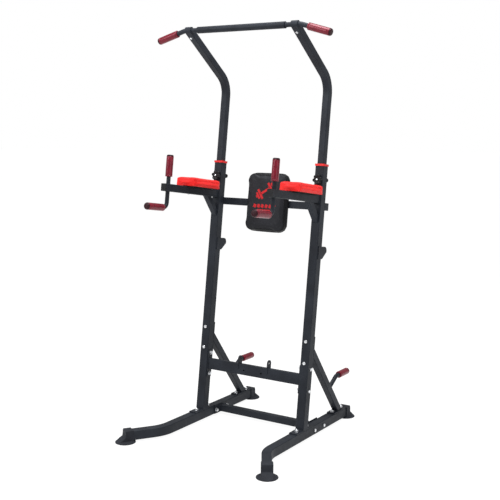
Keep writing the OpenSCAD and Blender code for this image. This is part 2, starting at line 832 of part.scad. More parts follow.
// Plastic plug that keeps the bottom of the upper tube central in the upright
module guide_plugs() {
    inner = upper_tube - 2 * wall - 0.2;
    for (s = SIDES) color(BLACK) side(s) leaned(upright_x) {
        translate([0, 0, tube_bottom - plug_head]) linear_extrude(plug_head)
            rounded(plug_w, plug_w, 2);
        translate([0, 0, tube_bottom - 1]) linear_extrude(26) rounded(inner, inner, 1.5);
    }
}

// ---------- Fasteners ----------

module base_bolts() {
    stack = main_tube + plate;
    color(ZINC) for (s = SIDES, y = [flange_mid_y - flange_bolt_dy, flange_mid_y + flange_bolt_dy,
            each brace_foot_bolts])
        translate([s * upright_x, y, rail_z]) bolt(stack);
}

module frame_bolts() {
    outer = upright_x + half_main;
    stack = main_tube + plate;
    color(ZINC) for (s = SIDES) side(s) {
        for (y = [-lower_bolt_dy, lower_bolt_dy])
            translate([outer, lower_bar_y + y, lower_bolt_z]) rotate([0, -90, 0]) bolt(stack);
        for (z = [-mid_bolt_ds, mid_bolt_ds])
            leaned() translate([outer, 0, mid_plate_s + z]) rotate([0, -90, 0]) bolt(stack);
        for (z = brace_top_bolts)
            leaned(upright_x) translate([0, -half_main, z]) rotate([-90, 0, 0]) bolt(stack);
    }
}

module pad_screws() {
    color(ZINC) for (s = SIDES) side(s) {
        for (o = arm_screws) leaned(upright_x) translate([0, -o, arm_low]) screw(arm_h + board_t - 2);
        leaned(back_screw_x) translate([0, half_main + back_bar_d, back_bar_s]) rotate([90, 0, 0])
            screw(back_bar_d + board_t - 2);
    }
}

module head_bolts() {
    color(ZINC) for (s = SIDES) side(s) top_arm() translate([0, -half_upper, head_bolt_t])
        rotate([-90, 0, 0]) bolt(upper_tube, head_stud_r, head_hex_r, head_hex_h, 6.5);
}

base_rail(LEFT);  // base_rail_left
base_rail(RIGHT);  // base_rail_right
foot_front(LEFT);  // foot_front_left
foot_front(RIGHT);  // foot_front_right
foot_rear(LEFT);  // foot_rear_left
foot_rear(RIGHT);  // foot_rear_right
lower_crossbar();
upright(LEFT);  // upright_left
upright(RIGHT);  // upright_right
mid_crossbar();
brace(LEFT);  // brace_left
brace(RIGHT);  // brace_right
pushup_handle(LEFT);  // pushup_handle_left
pushup_handle(RIGHT);  // pushup_handle_right
pushup_grip(LEFT);  // pushup_grip_left
pushup_grip(RIGHT);  // pushup_grip_right
rear_hook(LEFT);  // rear_hook_left
rear_hook(RIGHT);  // rear_hook_right
dip_arm(LEFT);  // dip_arm_left
dip_arm(RIGHT);  // dip_arm_right
arm_gusset(LEFT);  // arm_gusset_left
arm_gusset(RIGHT);  // arm_gusset_right
arm_end_caps();
dip_handle(LEFT);  // dip_handle_left
dip_handle(RIGHT);  // dip_handle_right
upper_grip(LEFT);  // upper_grip_left
upper_grip(RIGHT);  // upper_grip_right
lower_grip(LEFT);  // lower_grip_left
lower_grip(RIGHT);  // lower_grip_right
arm_pad(LEFT);  // arm_pad_left
arm_pad(RIGHT);  // arm_pad_right
arm_pad_boards();
backrest_crossbar();
backrest_pad();
backrest_board();
bushing(LEFT);  // bushing_left
bushing(RIGHT);  // bushing_right
grip_end_caps();
base_bolts();
frame_bolts();
pad_screws();
upper_tube(LEFT);  // upper_tube_left
upper_tube(RIGHT);  // upper_tube_right
bar_heads();
pullup_bar();
bar_sleeve();
bar_grip(LEFT);  // bar_grip_left
bar_grip(RIGHT);  // bar_grip_right
bar_end_caps();
guide_plugs();
head_bolts();
star_knob(LEFT);  // star_knob_left
star_knob(RIGHT);  // star_knob_right
clamp_screw(LEFT);  // clamp_screw_left
clamp_screw(RIGHT);  // clamp_screw_right
index_pin(LEFT);  // index_pin_left
index_pin(RIGHT);  // index_pin_right
pull_knob(LEFT);  // pull_knob_left
pull_knob(RIGHT);  // pull_knob_right
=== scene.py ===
import math
import random

import bmesh
import bpy
from mathutils import Matrix, Vector
from mathutils.bvhtree import BVHTree


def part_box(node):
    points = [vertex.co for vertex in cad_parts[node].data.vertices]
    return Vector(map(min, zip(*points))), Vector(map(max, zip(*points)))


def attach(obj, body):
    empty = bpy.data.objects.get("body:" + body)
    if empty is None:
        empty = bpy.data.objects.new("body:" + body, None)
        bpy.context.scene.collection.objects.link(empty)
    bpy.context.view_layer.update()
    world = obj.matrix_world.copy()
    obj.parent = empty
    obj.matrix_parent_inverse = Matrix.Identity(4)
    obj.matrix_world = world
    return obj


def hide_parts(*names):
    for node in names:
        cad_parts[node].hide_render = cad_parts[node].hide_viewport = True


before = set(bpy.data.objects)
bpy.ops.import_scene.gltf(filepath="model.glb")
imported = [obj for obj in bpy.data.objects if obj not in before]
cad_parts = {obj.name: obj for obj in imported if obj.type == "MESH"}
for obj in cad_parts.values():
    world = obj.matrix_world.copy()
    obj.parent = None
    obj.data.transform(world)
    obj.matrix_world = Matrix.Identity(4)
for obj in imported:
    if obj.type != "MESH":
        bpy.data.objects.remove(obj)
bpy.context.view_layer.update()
random.seed(7)

# ---------- Measures, in metres, and the frames the object is built in ----------

LEAN = math.radians(7.25)
UPRIGHT_X = 0.325
UPRIGHT_Y = 0.0015
HALF_MAIN = 0.025
FLANGE_TOP = 0.067
ARM_S, ARM_LOW, ARM_HIGH = 1.290, 1.270, 1.310
HANDLE_O = 0.470
BACK_S = 1.258
KNOB_S, PIN_S = 1.393, 1.397
CORNER_S = 1.918
CORNER = math.radians(61)
BAR_T = 0.443
BAR_DROP = math.radians(16)
BAR_BEND_X = 0.355
BAR_Y = UPRIGHT_Y + CORNER_S * math.sin(LEAN) - BAR_T * math.sin(CORNER - LEAN)
BAR_Z = CORNER_S * math.cos(LEAN) + BAR_T * math.cos(CORNER - LEAN)
# fasteners, and the plates and tubes that they hold
BAR_R = 0.0125
HALF_UPPER = 0.019
FLANGE_Y, FLANGE_BOLT_DY = 0.010, 0.0545
BRACE_FOOT_BOLTS_Y = (0.3585, 0.466)
LOWER_BAR_Y, LOWER_BAR_Z = 0.1615, 0.037
LOWER_BOLT_Z, LOWER_BOLT_DY = 0.036, 0.0515
MID_PLATE_S, MID_BOLT_DS = 0.3295, 0.058
BRACE_BOLTS_S = (0.419, 0.534)
HEAD_BOLT_T = BAR_T - 0.035
PLATE = 0.005
SIDES = (("left", -1), ("right", 1))


def shift(x=0.0, y=0.0, z=0.0):
    return Matrix.Translation((x, y, z))


def turn(degrees, axis):
    return Matrix.Rotation(math.radians(degrees), 4, axis)


def leaned(x=0.0):
    """+Z runs up along the uprights, -Y faces the user squarely."""
    return shift(x, UPRIGHT_Y, 0) @ Matrix.Rotation(-LEAN, 4, "X")


def top_arm(x):
    """+Z runs from the corner of an upper tube towards the pull-up bar."""
    return leaned(x) @ shift(0, 0, CORNER_S) @ Matrix.Rotation(CORNER, 4, "X")


def mirrored(side, matrix):
    """A right-hand placement, or its mirror image on the left. The piece itself is symmetric."""
    if side > 0:
        return matrix
    flip = Matrix.Scale(-1, 4, (1, 0, 0))
    return flip @ matrix @ flip


# ---------- Materials ----------


def rgb(code):
    """Linear colour from a hexadecimal sRGB one."""
    parts = [int(code[i : i + 2], 16) / 255 for i in (0, 2, 4)]
    return tuple(
        c / 12.92 if c <= 0.04045 else ((c + 0.055) / 1.055) ** 2.4 for c in parts
    ) + (1.0,)


class Surface:
    """A procedural material on object coordinates, built around one Principled shader."""

    def __init__(self, name, **sockets):
        self.material = bpy.data.materials.new(name)
        self.material.use_nodes = True
        self.tree = self.material.node_tree
        self.shader = self.tree.nodes["Principled BSDF"]
        self.at = self.tree.nodes.new("ShaderNodeTexCoord").outputs["Object"]
        self.height = None
        for key, value in sockets.items():
            self.shader.inputs[key.replace("_", " ")].default_value = value

    def node(self, kind, inputs=(), **settings):
        made = self.tree.nodes.new(kind)
        for key, value in settings.items():
            setattr(made, key, value)
        for key, value in dict(inputs).items():
            if isinstance(value, bpy.types.NodeSocket):
                self.tree.links.new(value, made.inputs[key])
            else:
                made.inputs[key].default_value = value
        return made

    def stretched(self, scale):
        return self.node("ShaderNodeMapping", {"Vector": self.at, "Scale": scale}).outputs[0]

    def noise(self, scale, detail=4.0, rough=0.55, bend=0.0, at=None):
        return self.node(
            "ShaderNodeTexNoise",
            {"Vector": at or self.at, "Scale": scale, "Detail": detail, "Roughness": rough,
             "Distortion": bend},
        ).outputs["Fac"]

    def cells(self, scale, feature="F1", at=None):
        return self.node(
            "ShaderNodeTexVoronoi", {"Vector": at or self.at, "Scale": scale}, feature=feature
        ).outputs["Distance"]

    def band(self, value, low, high, to_low=0.0, to_high=1.0):
        return self.node(
            "ShaderNodeMapRange",
            {"Value": value, "From Min": low, "From Max": high, "To Min": to_low, "To Max": to_high},
        ).outputs["Result"]

    def mix(self, factor, first, second):
        made = self.node("ShaderNodeMix", data_type="RGBA")
        for socket, value in ((0, factor), (6, first), (7, second)):
            if isinstance(value, bpy.types.NodeSocket):
                self.tree.links.new(value, made.inputs[socket])
            else:
                made.inputs[socket].default_value = value
        return made.outputs[2]

    def set(self, socket, value):
        self.tree.links.new(value, self.shader.inputs[socket])

    def bump(self, height, strength, distance):
        made = self.node(
            "ShaderNodeBump", {"Height": height, "Strength": strength, "Distance": distance}
        )
        if self.height:
            self.tree.links.new(self.height, made.inputs["Normal"])
        self.height = made.outputs[0]
        self.tree.links.new(self.height, self.shader.inputs["Normal"])


def powder_paint(name, dark, light, gloss=(0.42, 0.54)):
    """Fine-textured powder coat: orange peel, a grain of tiny pits, faint dust and rubbed patches."""
    s = Surface(name, Specular_IOR_Level=0.16)
    cloud = s.noise(7, 5)
    flecks = s.cells(1900)
    colour = s.mix(s.band(cloud, 0.35, 0.68), rgb(dark), rgb(light))
    dust = s.band(s.noise(55, 7, 0.7), 0.60, 0.78, 0, 0.16)
    colour = s.mix(dust, colour, rgb("404349"))
    s.set("Base Color", s.mix(s.band(flecks, 0.12, 0.02, 0, 0.25), colour, rgb("54585e")))
    s.set("Roughness", s.band(s.noise(26, 6, 0.65), 0.3, 0.7, *gloss))
    s.bump(s.noise(420, 3, 0.5), 0.22, 0.0006)
    s.bump(s.noise(2600, 2, 0.6), 0.16, 0.0003)
    return s.material


def grip_vinyl(name):
    """Dipped, glossy vinyl with a slightly wavy skin, deeper in colour where it is thick."""
    s = Surface(name, Specular_IOR_Level=0.42, Specular_Tint=(1.0, 0.55, 0.62, 1.0),
                Coat_Weight=0.2, Coat_Roughness=0.2, Coat_Tint=(1.0, 0.85, 0.88, 1.0))
    cloud = s.noise(38, 4, 0.6, 0.6)
    colour = s.mix(s.band(cloud, 0.32, 0.7), rgb("5c0c1b"), rgb("721326"))
    s.set("Base Color", s.mix(s.band(s.noise(300, 6, 0.7), 0.66, 0.8, 0, 0.03), colour, rgb("82303f")))
    s.set("Roughness", s.band(s.noise(70, 5, 0.6), 0.3, 0.72, 0.22, 0.32))
    s.bump(s.noise(45, 3, 0.5, 0.4), 0.03, 0.0005)
    return s.material


def leatherette(name, dark, light, rough=(0.36, 0.5), sheen=0.15, grain=0.35):
    """Upholstery vinyl: pebbled grain of two sizes with painted shade in the valleys between the pebbles,
    stretch creases and a soft sheen.
    """
    s = Surface(name, Specular_IOR_Level=0.16, Sheen_Weight=sheen, Sheen_Roughness=0.4)
    cloud = s.noise(11, 5, 0.6, 0.3)
    colour = s.mix(s.band(cloud, 0.3, 0.7), rgb(dark), rgb(light))
    pebble_cells = s.cells(780, "DISTANCE_TO_EDGE")
    # the colour darkens towards the pebble edges, in the valleys between pebbles: painted shade
    s.set("Base Color", s.mix(s.band(pebble_cells, 0.0, 0.12, 0.22, 0.0), colour, rgb("101012")))
    s.set("Roughness", s.band(s.noise(60, 6, 0.65), 0.3, 0.7, *rough))
    s.bump(s.noise(24, 5, 0.6, 1.2), 0.12, 0.003)
    s.bump(s.band(pebble_cells, 0.0, 0.16), grain, 0.0004)
    s.bump(s.noise(2200, 3, 0.6), 0.12, 0.0002)
    return s.material


def rubber(name):
    """Matt moulded rubber with a bloom of dust and scuffs."""
    s = Surface(name, Specular_IOR_Level=0.2, Sheen_Weight=0.02, Sheen_Roughness=0.6)
    colour = s.mix(s.band(s.noise(18, 6, 0.65), 0.3, 0.7), rgb("1d1f25"), rgb("282b32"))
    bloom = s.band(s.noise(130, 8, 0.75, 0.5), 0.58, 0.75, 0, 0.25)
    s.set("Base Color", s.mix(bloom, colour, rgb("3d3f46")))
    s.set("Roughness", s.band(s.noise(90, 6, 0.7), 0.3, 0.7, 0.62, 0.82))
    s.bump(s.noise(1100, 5, 0.7), 0.30, 0.0005)
    s.bump(s.noise(70, 4), 0.10, 0.002)
    return s.material


def moulded(name, dark, light, rough=(0.32, 0.48), grain=0.18):
    """Injection-moulded plastic with a fine spark-eroded grain and faint flow marks."""
    s = Surface(name, Specular_IOR_Level=0.2)
    flow = s.noise(20, 4, 0.5, 1.5, s.stretched((1, 1, 0.25)))
    s.set("Base Color", s.mix(s.band(flow, 0.3, 0.7), rgb(dark), rgb(light)))
    s.set("Roughness", s.band(s.noise(150, 5, 0.6), 0.3, 0.7, *rough))
    s.bump(s.noise(1700, 4, 0.7), grain, 0.0003)
    return s.material


def zinc(name):
    """Bright zinc plate: tinted patches, hairline scratches, uneven polish."""
    s = Surface(name, Metallic=1.0, Specular_IOR_Level=0.5)
    patch = s.noise(160, 4, 0.6, 0.8)
    colour = s.mix(s.band(patch, 0.3, 0.7), rgb("d3d6da"), rgb("f2f3f5"))
    s.set("Base Color", s.mix(s.band(s.noise(70, 5), 0.6, 0.8, 0, 0.35), colour, rgb("d9cfae")))
    s.set("Roughness", s.band(s.noise(400, 6, 0.7), 0.3, 0.7, 0.22, 0.40))
    s.bump(s.noise(900, 3, 0.5, 0, s.stretched((1, 6, 1))), 0.10, 0.0002)
    return s.material


def plywood(name):
    """Cut plywood coloured very dark, painted shade for the dark line under each pad: plies one above
    another, long grain lines and open pores.
    """
    s = Surface(name, Specular_IOR_Level=0.3)
    grain = s.noise(60, 8, 0.7, 0.4, s.stretched((14, 1, 14)))
    # the very dark board colour paints the shade line under each pad
    colour = s.mix(s.band(grain, 0.35, 0.65), rgb("241c16"), rgb("33281f"))
    plies = s.noise(9, 2, 0.5, 0, s.stretched((0.4, 0.4, 70)))
    s.set("Base Color", s.mix(s.band(plies, 0.5, 0.56, 0, 0.5), colour, rgb("17110d")))
    s.set("Roughness", s.band(grain, 0.3, 0.7, 0.62, 0.8))
    s.bump(grain, 0.25, 0.0005)
    return s.material


PAINT = powder_paint("frame_powder_coat", "1b1e24", "262a31")
WINE = grip_vinyl("wine_vinyl")
BLACK = moulded("black_moulding", "0d0e10", "15161a")
DARK_WINE = moulded("dark_wine_moulding", "22080f", "300d16", (0.28, 0.42))
RUBBER = rubber("foot_rubber_matt")
RED_PLASTIC = moulded("red_nylon", "c01f20", "d62a28", (0.3, 0.42))
RED_VINYL = leatherette("red_leatherette", "e2201f", "ef302d", (0.36, 0.5), 0.03, 0.25)
PANEL_VINYL = leatherette("charcoal_leatherette", "1b1c20", "25262b", (0.40, 0.55), 0.02, 0.35)
# the band vinyl is a darker copy of the panel vinyl, for the cushion's sides below the seam: painted shade
BAND_VINYL_PAINTED_SHADE = leatherette("band_leatherette_painted_shade", "0f1013", "17181b", (0.36, 0.5), 0.02, 0.35)
MARK = moulded("red_print", "a0141b", "b81d22", (0.42, 0.56), 0.10)
ZINC = zinc("zinc_plate")
THREAD_WAX = leatherette("red_thread", "a81014", "be1a1c", (0.5, 0.65), 0.08, 0.1)
DARK_THREAD = leatherette("black_thread", "0f1012", "1b1c1f", (0.5, 0.65), 0.08, 0.1)
PLY_PAINTED_SHADE = plywood("plywood_painted_shade")
SLOTS = {
    "frame_paint": PAINT, "wine_grip": WINE, "black_plastic": BLACK, "foot_rubber": RUBBER,
    "red_plastic": RED_PLASTIC, "red_vinyl": RED_VINYL, "black_vinyl": PANEL_VINYL,
    "plywood": PLY_PAINTED_SHADE, "zinc": ZINC,
}
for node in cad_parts.values():
    for place in node.material_slots:
        place.material = SLOTS[place.material.name.split(".")[0]]

# ---------- Mesh making ----------


def piece(name, bm, body, materials, replaces=(), sharp=35.0):
    """Turns a bmesh in the object's own frame into a finished piece that rides on a body."""
    bmesh.ops.remove_doubles(bm, verts=bm.verts, dist=1e-6)
    bmesh.ops.recalc_face_normals(bm, faces=bm.faces)
    for edge in bm.edges:
        edge.smooth = len(edge.link_faces) == 2 and edge.calc_face_angle(0) < math.radians(sharp)
    for face in bm.faces:
        face.smooth = True
    mesh = bpy.data.meshes.new(name)
    bm.to_mesh(mesh)
    bm.free()
    return settle(name, mesh, body, materials, replaces)


def settle(name, mesh, body, materials, replaces=()):
    """Makes the object of a mesh, with its materials, its body and the nodes it stands for."""
    obj = bpy.data.objects.new(name, mesh)
    bpy.context.scene.collection.objects.link(obj)
    for material in materials:
        mesh.materials.append(material)
    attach(obj, body)
    if replaces:
        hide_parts(*replaces)
    return obj


def rings(bm, loops, matrix, cap_start=True, cap_end=True, material=0):
    """Skins closed loops of equal length, and closes the first and last with a fan."""
    flipped = matrix.determinant() < 0
    made = [[bm.verts.new(matrix @ Vector(p)) for p in loop] for loop in loops]
    faces = []
    count = len(loops[0])
    for low, high in zip(made, made[1:]):
        for i in range(count):
            j = (i + 1) % count
            faces.append(bm.faces.new((low[i], low[j], high[j], high[i])))
    for loop, wanted in ((made[0], cap_start), (made[-1], cap_end)):
        if wanted:
            centre = bm.verts.new(sum((v.co for v in loop), Vector()) / count)
            for i in range(count):
                faces.append(bm.faces.new((loop[i], loop[(i + 1) % count], centre)))
    for face in faces:
        face.material_index = material
        if flipped:
            face.normal_flip()
    return made


def circle(radius, z, count=48, wave=None):
    loop = []
    for i in range(count):
        a = math.tau * i / count
        r = radius + (wave(a) if wave else 0)
        loop.append((r * math.cos(a), r * math.sin(a), z))
    return loop


def lathe(bm, profile, matrix, count=48, wave=None, hollow=False):
    """Turns (radius, z, wave share) points round Z. A hollow profile ends where it began."""
    loops = [
        circle(p[0], p[1], count, (lambda a, k=p[2]: k * wave(a)) if wave and len(p) > 2 else None)
        for p in profile
    ]
    if hollow:
        loops.append(loops[0])
    return rings(bm, loops, matrix, not hollow, not hollow)


def rounded_step(r, z, radius, quadrant, steps=6):
    """Points of a quarter turn about (r, z), from its start angle in quarter turns."""
    return [
        (r + radius * math.cos(math.radians(90 * (quadrant + i / steps))),
         z + radius * math.sin(math.radians(90 * (quadrant + i / steps))))
        for i in range(steps + 1)
    ]


# ---------- Grips and their end caps ----------


def grip(bm, length, tube_r, matrix, outer=0.019):
    """Vinyl sleeve: a rolled lip at each end, a fine groove inside each lip and a faint swell."""
    lip, groove, deep = 0.0075, 0.0011, 0.0008
    steps = 14
    profile = [(tube_r, 0.0), *rounded_step(outer - 0.003, 0.003, 0.003, 3)]
    profile += [(outer, lip - groove), (outer - deep, lip), (outer - deep / 4, lip + groove)]
    for i in range(1, steps):
        t = i / steps
        swell = 0.0003 * math.sin(math.pi * t)
        profile.append((outer - deep / 4 + swell * 0.6, lip + groove + t * (length - 2 * (lip + groove))))
    profile += [(outer - deep / 4, length - lip - groove), (outer - deep, length - lip),
                (outer, length - lip + groove)]
    profile += [*rounded_step(outer - 0.003, length - 0.003, 0.003, 0), (tube_r, length)]
    lathe(bm, profile, matrix, hollow=True)


def end_cap(bm, tube_r, matrix, outer=0.0185, height=0.009):
    """Domed plug: a thin parting flange, then a dome with a small flat and a dimple."""
    profile = [(tube_r, 0.0), (outer - 0.0004, 0.0), (outer, 0.0005), (outer, 0.0018),
               (outer - 0.0009, 0.0023), (outer - 0.0009, height - 0.006)]
    dome = outer - 0.0009 - 0.0055
    profile += rounded_step(dome, height - 0.0058, 0.0055, 0, 8)[1:]
    profile += [(0.0045, height), (0.0038, height - 0.0005), (0.0015, height - 0.0007)]
    lathe(bm, profile, matrix)


def up_from(matrix, s, o, forward=False):
    """A placement on the lean, o in front of the upright centre plane, with +Z up or forward."""
    made = matrix @ shift(0, -o, s)
    return made @ turn(90, "X") if forward else made


PUSHUP_Y, PUSHUP_Z = (0.428, 0.528), 0.2665
UPPER_GRIP, LOWER_GRIP = (1.348, 1.454), (0.500, 0.6299)
LOWER_S = 1.184
BAR_GRIP = (0.047, 0.171)
HANDLE_R, PUSHUP_R = 0.011, 0.012
caps, bar_caps = bmesh.new(), bmesh.new()
for name, side in SIDES:
    arm = leaned(side * UPRIGHT_X)
    pushup = shift(side * UPRIGHT_X, PUSHUP_Y[0], PUSHUP_Z) @ turn(-90, "X")
    tip = mirrored(side, shift(BAR_BEND_X, BAR_Y, BAR_Z)
                   @ Matrix.Rotation(math.pi / 2 + BAR_DROP, 4, "Y"))
    places = (
        ("upper_grip", UPPER_GRIP[1] - UPPER_GRIP[0], HANDLE_R,
         up_from(arm, UPPER_GRIP[0], HANDLE_O), "frame"),
        ("lower_grip", LOWER_GRIP[1] - LOWER_GRIP[0], HANDLE_R,
         up_from(arm, LOWER_S, LOWER_GRIP[0], True), "frame"),
        ("pushup_grip", PUSHUP_Y[1] - PUSHUP_Y[0], PUSHUP_R, pushup, "frame"),
        ("bar_grip", BAR_GRIP[1] - BAR_GRIP[0], BAR_R, tip @ shift(z=BAR_GRIP[0]), "upper_frame"),
    )
    for kind, length, tube_r, place, body in places:
        bm = bmesh.new()
        grip(bm, length, tube_r + 0.00005, place)
        piece(f"{kind}_sleeve_{name}", bm, body, [WINE], [f"{kind}_{name}"])
        at_end = place @ shift(z=length + (0.0001 if kind == "lower_grip" else 0))
        end_cap(bar_caps if kind == "bar_grip" else caps, tube_r, at_end)
piece("handle_caps", caps, "frame", [DARK_WINE], ["grip_end_caps"])
piece("bar_caps", bar_caps, "upper_frame", [DARK_WINE], ["bar_end_caps"])

# ---------- Bolts, nuts, washers and screws ----------

SIDES_OF_HEX = 6


def hex_radius(angle, corner):
    """Distance from the axis to a hexagon with that corner radius, with a corner at angle 0."""
    part = math.tau / SIDES_OF_HEX
    return corner * math.cos(part / 2) / math.cos((angle % part) - part / 2)


def hex_loop(corner, z, chamfer=0.0, away=0.0, count=36):
    """A hexagonal loop. With a chamfer its corners are cut back to a cone, and sink by away."""
    flat = corner * math.cos(math.pi / SIDES_OF_HEX)
    loop = []
    for i in range(count):
        a = math.tau * i / count
        r = hex_radius(a, corner)
        drop = (r - flat) / (corner - flat)
        r = r - chamfer * drop
        loop.append((r * math.cos(a), r * math.sin(a), z + away * drop))
    return loop


def hex_head(bm, corner, z0, z1, matrix):
    """Forged head from its bearing face z0 to its outer face z1, chamfered at the outer face."""
    sign = 1 if z1 > z0 else -1
    flat = corner * math.cos(math.pi / SIDES_OF_HEX)
    loops = [
        hex_loop(corner, z0),
        hex_loop(corner, z1 - sign * 0.0004, 0.0, -sign * 0.0009),
        circle(flat * 0.97, z1, 36),
        circle(flat * 0.62, z1, 36),
        circle(flat * 0.56, z1 - sign * 0.0004, 36),
    ]
    rings(bm, loops, matrix)


def hex_nut(bm, corner, bore, z0, z1, matrix):
    """Bored nut, chamfered at both faces."""
    flat = corner * math.cos(math.pi / SIDES_OF_HEX)
    loops = [
        circle(bore, z0 + 0.0005, 36), circle(bore + 0.0006, z0, 36), circle(flat * 0.97, z0, 36),
        hex_loop(corner, z0 + 0.0004, 0.0, 0.0009), hex_loop(corner, z1 - 0.0004, 0.0, -0.0009),
        circle(flat * 0.97, z1, 36), circle(bore + 0.0006, z1, 36), circle(bore, z1 - 0.0005, 36),
    ]
    loops.append(loops[0])
    rings(bm, loops, matrix, False, False)


def threaded(bm, radius, z0, z1, matrix, pitch=0.0015):
    """Threaded stud with a chamfered end at z1."""
    sign = 1 if z1 > z0 else -1
    turns = max(1, int(abs(z1 - z0) / pitch))
    root = radius - 0.0008
    loops = [circle(root, z0, 24)]
    for i in range(turns):
        base = z0 + sign * pitch * i
        loops += [circle(root, base + sign * 0.0001, 24), circle(radius, base + sign * pitch / 2, 24)]
    loops += [circle(root, z1 - sign * 0.0005, 24), circle(root - 0.0007, z1, 24)]
    rings(bm, loops, matrix)


def bolt(bm, stack, matrix, r=0.00495, corner=0.0095, head=0.0065, nut=0.008):
    """Head below z = 0, washer and nut on top of the stack, thread showing past the nut."""
    washer, tail = 0.002, 0.005
    hex_head(bm, corner, 0.0, -head, matrix)
    edge = corner + 0.001
    lathe(bm, [(r + 0.0003, stack), (edge - 0.0003, stack), (edge, stack + 0.0003),
               (edge, stack + washer - 0.0004), (edge - 0.0004, stack + washer),
               (r + 0.0003, stack + washer)], matrix, 36, hollow=True)
    low = stack + washer + 0.00005
    hex_nut(bm, corner, r + 0.00005, low, low + nut, matrix)
    threaded(bm, r, stack + 0.001, stack + washer + nut + tail, matrix)


def pan_screw(bm, length, matrix):
    """Domed cross-head screw, its head below z = 0."""
    head, r = 0.0045, 0.006
    loops = [circle(r, 0, 32), circle(r, -0.0012, 32)]
    for i in range(1, 6):
        a = math.radians(90 * i / 6)
        loops.append(circle(r * math.cos(a) * 0.98 + 0.0001, -0.0012 - (head - 0.0012) * math.sin(a), 32))
    cross = lambda a: -0.0012 * (0.5 + 0.5 * math.cos(4 * a))
    loops.append(circle(0.0026, -head + 0.0001, 32))
    loops.append(circle(0.0022, -head + 0.0016, 32, cross))
    rings(bm, loops, matrix)
    threaded(bm, 0.003, -0.0005, length, matrix, 0.0012)


def any_turn():
    """A bolt stops at any angle when it is tightened."""
    return turn(random.uniform(0, 360 / SIDES_OF_HEX), "Z")


# underside of the rails, and a 50 mm tube with its plate
RAIL_Z, STACK = 0.012, 0.055
ARM_SCREWS_O, ARM_SCREW = (0.115, 0.285), 0.048
BACK_SCREW_X, BACK_SCREW = 0.065, 0.046
BACK_BAR_S, BACK_BAR_REAR = 1.254, 0.063
base, joints, heads, screws = (bmesh.new() for _ in range(4))
for name, side in SIDES:
    for y in (FLANGE_Y - FLANGE_BOLT_DY, FLANGE_Y + FLANGE_BOLT_DY, *BRACE_FOOT_BOLTS_Y):
        bolt(base, STACK, shift(side * UPRIGHT_X, y, RAIL_Z) @ any_turn())
    outside = side * (UPRIGHT_X + HALF_MAIN)
    inward = turn(-90 * side, "Y")
    for y in (-LOWER_BOLT_DY, LOWER_BOLT_DY):
        bolt(joints, STACK, shift(outside, LOWER_BAR_Y + y, LOWER_BOLT_Z) @ inward @ any_turn())
    for s in (-MID_BOLT_DS, MID_BOLT_DS):
        bolt(joints, STACK, leaned(outside) @ shift(z=MID_PLATE_S + s) @ inward @ any_turn())
    for s in BRACE_BOLTS_S:
        bolt(joints, STACK, leaned(side * UPRIGHT_X) @ shift(0, -HALF_MAIN, s) @ turn(-90, "X")
             @ any_turn())
    bolt(heads, 2 * HALF_UPPER,
         top_arm(side * UPRIGHT_X) @ shift(0, -HALF_UPPER, HEAD_BOLT_T) @ turn(-90, "X"),
         r=0.00395, corner=0.0075, head=0.0055, nut=0.0065)
    for o in ARM_SCREWS_O:
        pan_screw(screws, ARM_SCREW, up_from(leaned(side * UPRIGHT_X), ARM_LOW, o) @ turn(20 * o, "Z"))
    pan_screw(screws, BACK_SCREW,
              leaned(side * BACK_SCREW_X) @ shift(0, BACK_BAR_REAR, BACK_BAR_S) @ turn(90, "X"))
piece("base_bolt_set", base, "frame", [ZINC], ["base_bolts"], 25)
piece("frame_bolt_set", joints, "frame", [ZINC], ["frame_bolts"], 25)
piece("head_bolt_set", heads, "upper_frame", [ZINC], ["head_bolts"], 25)
piece("pad_screw_set", screws, "frame", [ZINC], ["pad_screws"], 25)

# ---------- Knobs ----------


def star_knob(bm, matrix):
    """Six soft lobes, a dished face and a raised hub round the stud."""
    lobe = lambda a: 0.0034 * math.cos(6 * a) - 0.0006 * math.cos(12 * a)
    r, t = 0.0252, 0.014
    profile = [(0.0052, 0.0, 0), (0.012, 0.0, 0), (0.012, 0.0012, 0), (r - 0.0035, 0.0014, 1)]
    profile += [(r - 0.0035 + 0.0035 * math.sin(math.radians(a)),
                 0.0049 - 0.0035 * math.cos(math.radians(a)), 1) for a in (30, 60, 90)]
    profile += [(r - 0.004 + 0.004 * math.cos(math.radians(a)),
                 0.0095 + 0.004 * math.sin(math.radians(a)), 1) for a in (0, 22, 45, 68, 90)]
    profile += [(r - 0.007, t - 0.0012, 0.7), (0.0115, t - 0.0024, 0.15), (0.0095, t - 0.0024, 0),
                (0.0088, t - 0.0003, 0), (0.0083, t, 0), (0.0058, t, 0), (0.0052, t - 0.0006, 0)]
    lathe(bm, profile, matrix, 96, lobe, hollow=True)


def pull_knob(bm, matrix, length=0.022):
    """Turned pull with a narrow neck, twelve shallow flutes and a rounded end."""
    flute = lambda a: -0.0005 * (0.5 - 0.5 * math.cos(12 * a))
    profile = [(0.0041, 0.0, 0), (0.0064, 0.0, 0), (0.007, 0.0006, 0), (0.007, 0.0062, 0),
               (0.0078, 0.0070, 0), (0.0112, 0.0072, 0), (0.012, 0.0080, 0.3),
               (0.012, 0.0098, 1), (0.012, length - 0.0076, 1), (0.0119, length - 0.0058, 0.3)]
    profile += [(r, z, 0) for r, z in rounded_step(0.0062, length - 0.0057, 0.0057, 0, 7)[1:]]
    profile += [(0.003, length - 0.0002, 0)]
    lathe(bm, profile, matrix, 72, flute)


